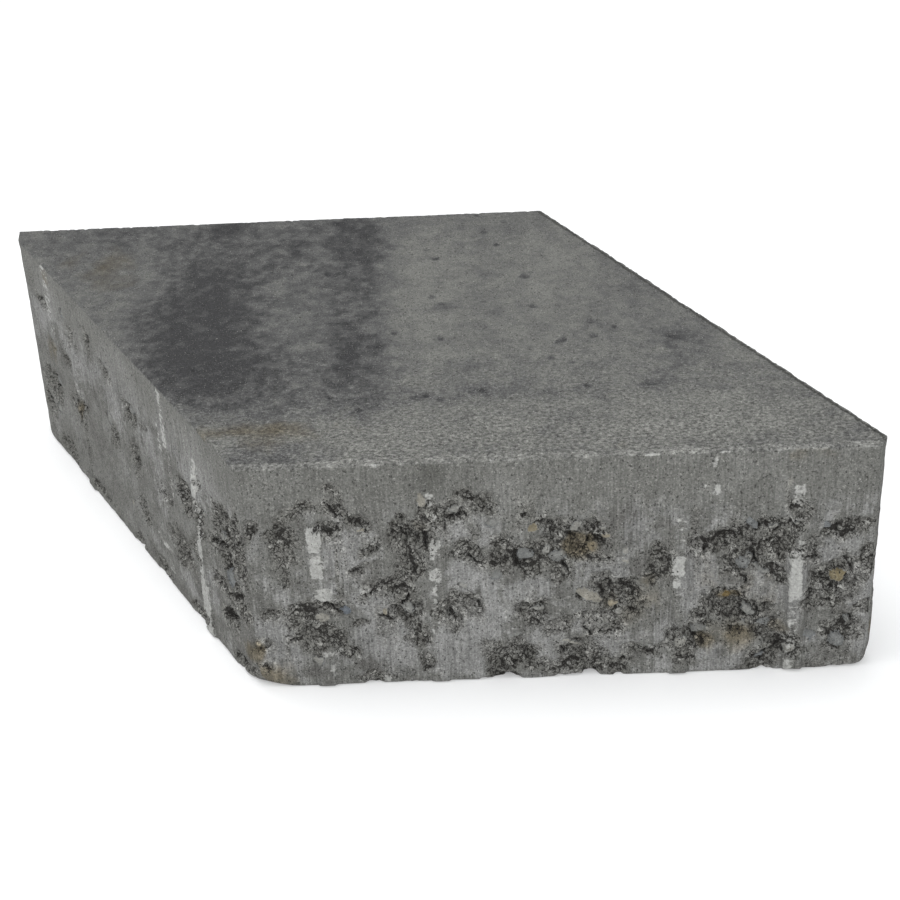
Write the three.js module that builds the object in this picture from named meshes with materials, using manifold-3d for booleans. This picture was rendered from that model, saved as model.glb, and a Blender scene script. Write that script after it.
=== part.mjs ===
// A rhombus paving stone, pressed in one piece from concrete. Two opposite corners are acute
// and two are obtuse, so that three stones laid round a point look like a cube. Upright spacer
// ribs on the four sides keep the joints open. Millimetres, +Z up.
// The origin is the centre of the underside, and +X runs along the front side.
import * as THREE from "three";
import { mergeVertices } from "three/addons/utils/BufferGeometryUtils.js";
import Module from "manifold-3d";

// The block
const SIDE = 190; // each of the four sides, between the sharp corners that the sides point to
const THICKNESS = 80;
const ACUTE_ANGLE = THREE.MathUtils.degToRad(60);
const TIP_CUT = 5.5; // length that each blunted acute tip takes off both of its sides
const TIP_EDGE_RADIUS = 1.8; // upright edges where the tip's flat meets the sides
const OBTUSE_RADIUS = 3; // upright edges at the obtuse corners
const RIM_WIDTH = 1; // fine bevel round the wearing face, seen from above
const RIM_DROP = 0.6; // how far that bevel comes down the sides
const FOOT_RADIUS = 1.5; // rounded edge round the underside

// The spacer ribs
const RIB_HEIGHT = 64; // from the underside to where a rib has run out into the side
const RIB_PROUD = 1.8; // how far a rib's crest stands out of the side
const RIB_BASE_WIDTH = 6.4;
const RIB_CREST_WIDTH = 4.2;
const RIB_RUN_OUT = 9; // height over which the crest falls back to the side at the top
const RIB_ROOT = 2; // depth to which a rib reaches into the block behind its side
const FRONT_RIB_INSET = 24; // front and back: outer ribs to the corners, without the shift
const FRONT_RIB_PITCH = 35; // front and back: outer rib to inner rib
const FRONT_RIB_SHIFT = -3; // moves the row along its side, so that facing ribs pass each other
const FLANK_RIB_INSET = 43.5; // left and right: ribs to the corners, without the shift
const FLANK_RIB_SHIFT = 10.5;

// Open hollows in the sides, where gravel bridged across and the mix never closed against the
// mould. Each has its distance along the side, its height, its half length and half height, the
// tilt of its length in degrees, and its depth. A distance below zero counts back from the far
// end of the side. Front and left are given. Back and right have the same hollows run the other
// way.
const FRONT_HOLLOWS = [
  [19, 22.5, 8, 6.5, -50, 1.8],
  [47, 54, 5, 5.5, 0, 2.4],
  [62, 62.5, 5.5, 3.5, 0, 2.4],
  [69, 65, 5, 3, -35, 2.2],
  [65, 47, 5, 3, -35, 2],
  [76, 46, 3.5, 5.5, 0, 2],
  [83, 44, 6.5, 5.5, 0, 2.6],
  [91.5, 49.5, 4, 8, -15, 2.2],
  [-89.5, 50, 8, 7, 0, 3],
  [42, 37, 8, 3.5, 15, 1.8],
  [47.5, 27.5, 5, 5, 0, 2.4],
  [62, 26.5, 6.5, 5.5, -10, 2.4],
  [85, 25.5, 6, 4, -35, 2.2],
  [-81, 29.5, 7, 7, 0, 2.6],
  [-58.5, 14.5, 8, 5.5, 55, 3],
  [-52.5, 48.5, 9, 3, 12, 2.6],
  [-43.5, 40.5, 5.5, 6, 0, 2.4],
  [-33.5, 48, 6, 6, 0, 2.4],
  [-14, 50.5, 7, 3, 0, 2],
  [-45, 24, 9, 6, -30, 2.8],
  [-34, 15, 7, 5, -30, 2.6],
  [-14, 31.5, 8, 7, 15, 2.4],
  [78, 8.5, 6, 5, 0, 2.4],
  [-93, 9, 5, 6, 0, 2.8],
  [74.5, 0, 4.5, 2.6, 0, 3],
  [-90, 0, 5, 3.2, 0, 3],
  [-37.5, 4, 4.5, 3, 0, 3.5],
];
const LEFT_HOLLOWS = [
  [17, 17, 5, 4, 0, 2],
  [24, 30, 9, 6, 0, 1.8],
  [53, 34, 6, 5, 0, 1.8],
  [-86, 55, 6, 4, 0, 2.2],
  [-86, 40, 6, 4, 70, 2],
  [-84, 20.5, 5, 5, 0, 1.8],
  [-62, 37, 5, 4, 0, 1.8],
  [-52, 22, 7.5, 5, 0, 2],
  [-45, 46, 5, 6, -20, 2],
  [-15, 40.5, 7, 4.5, 0, 3],
  [-13, 51, 8, 7, 0, 2],
  [-15, 18, 5.5, 3, 10, 3.4],
];
const HOLLOW_OPENING = 3; // how many times its depth a hollow's cutter stands out of the side

const ARC_SEGMENTS = 6; // facets in each rounded corner
const OVERRUN = 10; // how far a cutting solid runs past the block that it trims

const concrete = new THREE.MeshStandardMaterial({
  name: "pressed_concrete",
  color: "#6a6a67",
  roughness: 0.92,
  metalness: 0,
});

const wasm = await Module();
wasm.setup();

function solidOf(geometry) {
  geometry.deleteAttribute("normal");
  geometry.deleteAttribute("uv");
  const merged = mergeVertices(geometry, 1e-4);
  return new wasm.Manifold(
    new wasm.Mesh({
      numProp: 3,
      vertProperties: merged.getAttribute("position").array,
      triVerts: new Uint32Array(merged.index.array),
    }),
  );
}

function geometryOf(solid) {
  const { vertProperties, triVerts } = solid.getMesh();
  const geometry = new THREE.BufferGeometry();
  geometry.setAttribute("position", new THREE.BufferAttribute(vertProperties, 3));
  geometry.setIndex(new THREE.BufferAttribute(triVerts, 1));
  geometry.computeVertexNormals();
  return geometry;
}

// The sharp corners, anticlockwise from the front left one, which is obtuse.
function sharpCorners() {
  const front = new THREE.Vector2(SIDE, 0);
  const left = new THREE.Vector2(-SIDE * Math.cos(ACUTE_ANGLE), SIDE * Math.sin(ACUTE_ANGLE));
  const frontLeft = front.clone().add(left).multiplyScalar(-0.5);
  return [
    frontLeft,
    frontLeft.clone().add(front),
    frontLeft.clone().add(front).add(left),
    frontLeft.clone().add(left),
  ];
}

const CORNERS = sharpCorners();

// The corners of the outline with the acute tips cut off, each with the radius of its edge.
function outlineCorners() {
  return CORNERS.flatMap((corner, i) => {
    if (i % 2 === 0) return [{ at: corner, radius: OBTUSE_RADIUS }];
    const alongSide = (end) => end.clone().sub(corner).setLength(TIP_CUT).add(corner);
    const neighbours = [CORNERS[i - 1], CORNERS[(i + 1) % CORNERS.length]];
    return neighbours.map((end) => ({ at: alongSide(end), radius: TIP_EDGE_RADIUS }));
  });
}

// A closed anticlockwise outline whose corners are rounded by true arcs.
function roundedOutline(corners) {
  const shape = new THREE.Shape();
  corners.forEach(({ at, radius }, i) => {
    const before = corners[(i + corners.length - 1) % corners.length].at;
    const after = corners[(i + 1) % corners.length].at;
    const arriving = at.clone().sub(before).normalize();
    const leaving = after.clone().sub(at).normalize();
    const turn = Math.acos(arriving.dot(leaving));
    const start = at.clone().addScaledVector(arriving, -radius * Math.tan(turn / 2));
    const centre = new THREE.Vector2(-arriving.y, arriving.x).multiplyScalar(radius).add(start);
    const from = Math.atan2(start.y - centre.y, start.x - centre.x);
    if (i === 0) shape.moveTo(start.x, start.y);
    else shape.lineTo(start.x, start.y);
    shape.absarc(centre.x, centre.y, radius, from, from + turn, false);
  });
  shape.closePath();
  return shape;
}

// The outline pulled up between two heights, with both ends bevelled inwards.
function bevelledPrism(outline, bottom, top, width, drop, segments) {
  const geometry = new THREE.ExtrudeGeometry(outline, {
    depth: top - bottom - 2 * drop,
    curveSegments: ARC_SEGMENTS,
    bevelEnabled: true,
    bevelSize: width,
    bevelOffset: -width,
    bevelThickness: drop,
    bevelSegments: segments,
  });
  geometry.translate(0, 0, bottom + drop);
  return solidOf(geometry);
}

// The top edge comes from one prism and the bottom edge from the other.
function block() {
  const outline = roundedOutline(outlineCorners());
  const rimmed = bevelledPrism(outline, -OVERRUN, THICKNESS, RIM_WIDTH, RIM_DROP, 1);
  const footed = bevelledPrism(outline, 0, THICKNESS + OVERRUN, FOOT_RADIUS, FOOT_RADIUS, 3);
  return rimmed.intersect(footed);
}

// One rib on a side that runs along +X and faces -Y: its section in plan, pulled up, is cut by
// its profile as seen from the end of the side, pulled across.
function rib() {
  const half = RIB_BASE_WIDTH / 2;
  const crest = RIB_CREST_WIDTH / 2;
  const shoulder = (half - crest) / 2;
  const section = new THREE.Shape();
  section.moveTo(half, RIB_ROOT);
  section.lineTo(-half, RIB_ROOT);
  section.lineTo(-half, 0);
  section.bezierCurveTo(-half + shoulder, 0, -crest - shoulder, -RIB_PROUD, -crest, -RIB_PROUD);
  section.lineTo(crest, -RIB_PROUD);
  section.bezierCurveTo(crest + shoulder, -RIB_PROUD, half - shoulder, 0, half, 0);
  section.closePath();
  const pulledUp = new THREE.ExtrudeGeometry(section, {
    depth: RIB_HEIGHT,
    curveSegments: ARC_SEGMENTS,
    bevelEnabled: false,
  });

  const runOutStart = RIB_HEIGHT - RIB_RUN_OUT;
  const profile = new THREE.Shape(); // x is the height and y is the depth behind the side
  profile.moveTo(-OVERRUN, RIB_ROOT + OVERRUN);
  profile.lineTo(-OVERRUN, -RIB_PROUD + FOOT_RADIUS + OVERRUN);
  profile.lineTo(0, -RIB_PROUD + FOOT_RADIUS);
  profile.lineTo(FOOT_RADIUS, -RIB_PROUD);
  profile.lineTo(runOutStart, -RIB_PROUD);
  profile.quadraticCurveTo(runOutStart + RIB_RUN_OUT / 2, -RIB_PROUD, RIB_HEIGHT, 0);
  profile.lineTo(RIB_HEIGHT + OVERRUN, 0);
  profile.lineTo(RIB_HEIGHT + OVERRUN, RIB_ROOT + OVERRUN);
  profile.closePath();
  const pulledAcross = new THREE.ExtrudeGeometry(profile, {
    depth: RIB_BASE_WIDTH + 2 * OVERRUN,
    curveSegments: ARC_SEGMENTS,
    bevelEnabled: false,
  });
  pulledAcross.translate(0, 0, -half - OVERRUN);
  const stand = new THREE.Matrix4().makeBasis(
    new THREE.Vector3(0, 0, 1),
    new THREE.Vector3(0, 1, 0),
    new THREE.Vector3(-1, 0, 0),
  );
  pulledAcross.applyMatrix4(stand);
  return solidOf(pulledUp).intersect(solidOf(pulledAcross));
}

// Distances of the ribs along a side, from both of its ends inwards.
function ribRow(inset, pitch, perEnd, shift) {
  return Array.from({ length: perEnd }, (_, i) => inset + i * pitch).flatMap((step) => [
    step + shift,
    SIDE - step + shift,
  ]);
}

// Front and left rows. Back and right are the same rows, because half a turn maps the stone
// onto itself. Distances run anticlockwise round the stone.
const FRONT_ROW = ribRow(FRONT_RIB_INSET, FRONT_RIB_PITCH, 2, FRONT_RIB_SHIFT);
const FLANK_ROW = ribRow(FLANK_RIB_INSET, 0, 1, FLANK_RIB_SHIFT);

function placedRibs() {
  const pattern = rib();
  return CORNERS.flatMap((corner, i) => {
    const next = CORNERS[(i + 1) % CORNERS.length];
    const along = next.clone().sub(corner).normalize();
    const row = i % 2 === 0 ? FRONT_ROW : FLANK_ROW;
    return row.map((distance) => {
      const foot = corner.clone().addScaledVector(along, distance);
      const place = new THREE.Matrix4()
        .makeRotationZ(along.angle())
        .setPosition(foot.x, foot.y, 0);
      return pattern.transform(place.elements);
    });
  });
}

// The cutter of one hollow: half of it is an oval dish behind the side, and the other half
// reaches out past the ribs.
function hollowCutter(halfLength, halfHeight, depth) {
  const cutter = new THREE.IcosahedronGeometry(1, 1);
  const points = cutter.getAttribute("position");
  for (let i = 0; i < points.count; i++) {
    if (points.getY(i) < 0) points.setY(i, HOLLOW_OPENING * points.getY(i));
  }
  cutter.scale(halfLength, depth, halfHeight);
  return cutter;
}

function placedHollows() {
  return CORNERS.flatMap((corner, i) => {
    const next = CORNERS[(i + 1) % CORNERS.length];
    const along = next.clone().sub(corner).normalize();
    const rows = i % 2 === 0 ? FRONT_HOLLOWS : LEFT_HOLLOWS;
    const mirrored = i === 1 || i === 2;
    return rows.map(([distance, height, halfLength, halfHeight, tilt, depth]) => {
      const fromStart = distance < 0 ? SIDE + distance : distance;
      const steps = mirrored ? SIDE - fromStart : fromStart;
      const foot = corner.clone().addScaledVector(along, steps);
      const cutter = hollowCutter(halfLength, halfHeight, depth);
      cutter.rotateY(THREE.MathUtils.degToRad(mirrored ? tilt : -tilt));
      cutter.rotateZ(along.angle());
      cutter.translate(foot.x, foot.y, height);
      return solidOf(cutter);
    });
  });
}

const ribbed = placedRibs().reduce((whole, one) => whole.add(one), block());
const cast = placedHollows().reduce((whole, one) => whole.subtract(one), ribbed);
const stone = new THREE.Mesh(geometryOf(cast), concrete);
stone.name = "paving_stone";

const model = new THREE.Group();
model.name = "rhombus_paving_stone";
model.add(stone);

export default model;
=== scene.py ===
"""A rhombus concrete paving stone, pressed in one piece.

The stone is cast as a fine grid, rounded, given its spacer ribs and then its surface relief,
and thinned at the end. Lengths inside the relief functions are in millimetres; everything that
Blender gets is in metres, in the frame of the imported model.
"""

import math
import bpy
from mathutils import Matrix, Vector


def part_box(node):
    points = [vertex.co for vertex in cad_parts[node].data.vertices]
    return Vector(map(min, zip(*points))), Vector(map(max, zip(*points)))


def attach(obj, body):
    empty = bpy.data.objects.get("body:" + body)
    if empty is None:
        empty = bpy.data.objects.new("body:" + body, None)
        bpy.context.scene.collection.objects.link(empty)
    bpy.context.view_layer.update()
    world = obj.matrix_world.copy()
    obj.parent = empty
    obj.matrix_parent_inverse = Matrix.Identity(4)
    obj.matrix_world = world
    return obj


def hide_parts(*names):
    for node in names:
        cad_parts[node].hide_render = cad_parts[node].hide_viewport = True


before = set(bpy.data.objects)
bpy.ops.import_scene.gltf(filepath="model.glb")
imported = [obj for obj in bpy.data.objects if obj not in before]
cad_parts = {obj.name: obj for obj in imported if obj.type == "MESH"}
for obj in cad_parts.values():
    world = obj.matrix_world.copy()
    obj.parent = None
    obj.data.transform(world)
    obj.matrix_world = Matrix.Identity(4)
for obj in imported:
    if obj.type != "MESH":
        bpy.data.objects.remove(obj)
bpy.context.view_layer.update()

from concurrent.futures import ThreadPoolExecutor

import bmesh
import bpy
import numpy as np
from mathutils import Matrix, Vector

MM = 0.001
NODE = "paving_stone"
LOW, HIGH = (np.array(corner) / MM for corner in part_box(NODE))

# The block, in millimetres
SIDE = 190.0
THICKNESS = float(HIGH[2] - LOW[2])
ACUTE = math.radians(60)
TIP_CUT = 5.5  # length that a blunted tip takes off both of its sides

# The spacer ribs
RIB_HEIGHT = 64.0
RIB_PROUD = 1.8
RIB_BASE = 6.4
RIB_CREST = 4.2
RIB_RUN_OUT = 9.0
RIB_FOOT = 1.5
FRONT_RIBS = (21.0, 56.0, 128.0, 163.0)  # distances along the front and the back
FRONT_WEAR = (0.5, 0.4, 0.6, 0.95)  # what wear has left of each rib's height
FLANK_RIBS = (54.0, 157.0)  # distances along the left and the right
FLANK_WEAR = (0.45, 0.6)

# How far behind a wall's plane its relief and its marks reach, and how far in from the top and
# bottom edges the arrises crumble
RELIEF_REACH = 9.0
MARKS_REACH = 7.0
ARRIS = 2.5

# The casting grid and what is left of it
COARSE_CELL = 4.0
HALVINGS = 3
ROUNDING_STEPS = 4  # passes that settle the points on the rounded surface
TRIANGLES = 190_000
BATCH = 20_000  # points worked on at a time

SEED = 7


# ---------------------------------------------------------------- outline

def plan(x, y):
    return np.array([x, y, 0.0])


ALONG_FRONT = plan(1, 0)
ALONG_LEFT = plan(-math.cos(ACUTE), math.sin(ACUTE))  # from the front left corner backwards
FRONT_LEFT = -0.5 * SIDE * (ALONG_FRONT + ALONG_LEFT)
FRONT_RIGHT = FRONT_LEFT + SIDE * ALONG_FRONT
BACK_RIGHT = FRONT_RIGHT + SIDE * ALONG_LEFT
BACK_LEFT = FRONT_LEFT + SIDE * ALONG_LEFT
LONG_DIAGONAL = (FRONT_RIGHT - BACK_LEFT) / np.linalg.norm(FRONT_RIGHT - BACK_LEFT)

# The blunted tips: outward normal, and a point on the flat. The back one is worn askew.
ASKEW = plan(-0.991, -0.133)
TIPS = [
    (LONG_DIAGONAL, FRONT_RIGHT - (TIP_CUT - 0.3) * ALONG_FRONT),
    (ASKEW, BACK_LEFT + 3.0 * ALONG_FRONT),
]


class Wall:
    """One upright side: a distance runs along it from its start, and its outward normal."""

    def __init__(self, row, start, end, ribs, wear, tables, mirrored=False):
        self.row = row  # keeps the random patterns of the walls apart
        self.start = start
        self.along = (end - start) / SIDE
        self.outward = np.array([self.along[1], -self.along[0], 0.0])
        self.ribs = ribs
        self.wear = wear
        self.crumble = 0.15 if row == 1 else 0.3  # how ragged the arrises are
        self.swell = 0.9 if row in (2, 4) else 0.0  # how far the foot sagged out of the mould
        self.closed = 0.35 if row in (2, 4) else 0.0  # how much the far part's pores are filled
        self.tables = tables
        self.mirrored = mirrored

    def place(self, points):
        """Distance along the wall, height, and depth behind its plane."""
        offset = points - self.start
        return offset @ self.along, points[:, 2], -(offset @ self.outward)


# ---------------------------------------------------------------- noise

def scramble(code):
    """Turns whole numbers into repeatable random ones."""
    code = (code ^ (code >> np.uint32(15))) * np.uint32(2246822519)
    code = (code ^ (code >> np.uint32(13))) * np.uint32(3266489917)
    return code ^ (code >> np.uint32(16))


def cells(coordinate, factor, seed=0):
    """The whole-number cells of a coordinate and of its next cell, and the place between them."""
    home = np.floor(coordinate)
    code = home.astype(np.int64).astype(np.uint32)
    start = np.uint32((seed * 3266489917 + 12345) % 2**32)
    codes = [(code + np.uint32(step)) * np.uint32(factor) + start for step in (0, 1)]
    return codes, coordinate - home


def noise(points, size, seed):
    """Smooth noise from -1 to 1, whose lumps are about size millimetres across."""
    scaled = (points / np.asarray(size, float)).T
    xs, part_x = cells(scaled[0], 374761393, seed + SEED)
    ys, part_y = cells(scaled[1], 668265263)
    zs, part_z = cells(scaled[2], 2246822519)
    part_x, part_y, part_z = (part * part * (3 - 2 * part) for part in (part_x, part_y, part_z))

    def between(first, second, part):
        return first + (second - first) * part

    sheets = []
    for z in zs:
        rows = []
        for y in ys:
            first, second = (scramble(x + y + z).astype(np.float32) for x in xs)
            rows.append(between(first, second, part_x))
        sheets.append(between(*rows, part_y))
    return between(*sheets, part_z) / 2.0**31 - 1


def rough(points, size, seed, octaves=3):
    """Noise with finer and finer lumps on it, from about -1 to 1."""
    total, weight = np.zeros(len(points)), 1.0
    for octave in range(octaves):
        total += weight * noise(points, size / 2**octave, seed + 31 * octave)
        weight *= 0.5
    return total / 1.5


def grains(s, z, row, size, seed):
    """The nearest of the grains scattered over a wall: its distance, how much farther the next
    one is, and two random numbers."""
    across, up = s / size, z / size
    home_s, home_z = np.floor(across), np.floor(up)
    start = np.uint32((seed * 3266489917 + row * 2246822519 + SEED) % 2**32)
    nearest, second = np.full(len(s), 9.0), np.full(len(s), 9.0)
    chosen = np.zeros(len(s), np.uint32)
    for step_s in (-1, 0, 1):
        for step_z in (-1, 0, 1):
            cell_s, cell_z = home_s + step_s, home_z + step_z
            code = scramble(
                cell_s.astype(np.int64).astype(np.uint32) * np.uint32(374761393)
                + cell_z.astype(np.int64).astype(np.uint32) * np.uint32(668265263)
                + start
            )
            centre_s = cell_s + (code & np.uint32(0xFFFF)) / 65535
            centre_z = cell_z + (code >> np.uint32(16)) / 65535
            distance = np.hypot(across - centre_s, up - centre_z)
            closer = distance < nearest
            second = np.where(closer, nearest, np.minimum(second, distance))
            nearest = np.where(closer, distance, nearest)
            chosen = np.where(closer, code, chosen)
    one, two = scramble(chosen) / 2.0**32, scramble(chosen + np.uint32(1)) / 2.0**32
    return nearest * size, (second - nearest) * size, one, two


def ease(value):
    """0 below 0, 1 above 1, and a smooth step between."""
    value = np.clip(value, 0, 1)
    return value * value * (3 - 2 * value)


# ---------------------------------------------------------------- what the walls carry

# Hollows, where gravel bridged across and the mix never closed against the mould: distance along
# the wall, height, half length, half height, tilt in degrees, depth
FRONT_HOLLOWS = [
    (19, 22.5, 8, 6.5, -50, 1.8), (47, 54, 5, 5.5, 0, 2.4), (62, 62.5, 5.5, 3.5, 0, 2.4),
    (69, 65, 5, 3, -35, 2.2), (65, 47, 5, 3, -35, 2), (76, 46, 3.5, 5.5, 0, 2),
    (83, 44, 6.5, 5.5, 0, 2.6), (91.5, 49.5, 4, 8, -15, 2.2), (100.5, 50, 8, 7, 0, 3),
    (42, 37, 8, 3.5, 15, 1.8), (47.5, 27.5, 5, 5, 0, 2.4), (62, 26.5, 6.5, 5.5, -10, 2.4),
    (85, 25.5, 6, 4, -35, 2.2), (109, 29.5, 7, 7, 0, 2.6), (131.5, 14.5, 8, 5.5, 55, 3),
    (137.5, 48.5, 9, 3, 12, 2.6), (146.5, 40.5, 5.5, 6, 0, 2.4), (156.5, 48, 6, 6, 0, 2.4),
    (176, 50.5, 7, 3, 0, 2), (145, 24, 9, 6, -30, 2.8), (156, 15, 7, 5, -30, 2.6),
    (176, 31.5, 8, 7, 15, 2.4), (78, 8.5, 6, 5, 0, 2.4), (97, 9, 5, 6, 0, 2.8),
    (74.5, 0, 5, 3.2, 0, 3.4), (100, 0, 5.5, 3.6, 0, 3.4), (152.5, 4, 4.5, 3, 0, 3.5),
    # the shallower ones
    (11, 50, 4, 10, 0, 1), (17, 65, 5, 2.5, 10, 0.9), (28, 66, 2, 6, 25, 1.2),
    (25, 58, 3, 2.2, 0, 1.6), (34, 59, 2.5, 3.5, 40, 1.2), (37, 51, 3.5, 1.4, 25, 1.8),
    (49, 44, 3.5, 6, 0, 1.6), (54, 60, 3, 6, 0, 1.4), (54, 52, 1.6, 4, 0, 2.2),
    (50, 20, 3, 5, 10, 1.2), (32, 43, 2.5, 1.2, 20, 1.4), (34, 24, 3, 1.4, 0, 1),
    (105, 22, 7, 3, -10, 1.2), (92, 20, 4, 3, 20, 1), (122, 42, 3.5, 6, -10, 1.2),
    (94, 39, 3, 3, 0, 1.8), (152, 54, 4, 3, 0, 1.6), (162, 56, 3, 5, 0, 1.4),
    (166, 45, 4, 4, -30, 1.6), (156, 37, 4, 1.6, -45, 1.4), (184, 40, 3.5, 5, 0, 1.4),
    (178, 14, 6, 6, 0, 1.4), (168, 26, 4, 3, 20, 1.6), (184, 22.5, 2.5, 1.4, 0, 1.4),
    (117, 10, 5, 1.6, 0, 1.2), (110, 4, 6, 2, 0, 1.2), (90, 5, 4, 3, 0, 1), (52, 8, 3, 4, 0, 1.2),
    (28, 13, 4, 3, -20, 1), (38, 2, 7, 2, 0, 1), (6, 27, 4, 2.5, 0, 1.2), (2, 58, 2, 4, 0, 1),
    (2, 15, 3, 4, 0, 1), (72, 11, 3, 5, 20, 1.4), (104, 7, 3, 6, 0, 1), (162, 10, 3, 4, 0, 1.2),
]
LEFT_HOLLOWS = [
    (17, 17, 5, 4, 0, 2), (24, 30, 9, 6, 0, 1.8), (53, 34, 6, 5, 0, 1.8), (104, 55, 6, 4, 0, 2.2),
    (104, 40, 6, 4, 70, 2), (106, 20.5, 5, 5, 0, 1.8), (128, 37, 5, 4, 0, 1.8),
    (138, 22, 7.5, 5, 0, 2), (145, 46, 5, 6, -20, 2), (175, 40.5, 7, 4.5, 0, 3),
    (177, 51, 8, 7, 0, 2), (175, 18, 5.5, 3, 10, 3.4),
    # the shallower ones
    (69, 66, 2.2, 4, 0, 1.2), (84, 61, 4, 2, -20, 1.4), (157, 45, 3, 6, 0, 1.4),
    (158, 58, 2, 3, 0, 1.2), (183, 28, 6, 7, 0, 1.6), (168, 28, 6, 3, 20, 1.2),
    (115, 56, 3, 1.2, 0, 1.2), (44, 48, 3, 3, 0, 0.9), (26, 62, 4, 3, 0, 1), (51, 61, 3, 5, 0, 0.8),
    (86, 38, 4, 5, 0, 0.9), (151, 30, 5, 3, 0, 1), (118, 4, 5, 3, 0, 1.4), (98, 3, 4, 3, 0, 1.6),
    (181, 4, 7, 3, 10, 2), (150, 5, 6, 3, 0, 1), (33, 5, 6, 4, 0, 1), (186, 46, 3, 14, 0, 1.2),
    (64, 4, 8, 2, 0, 1),
]

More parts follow.
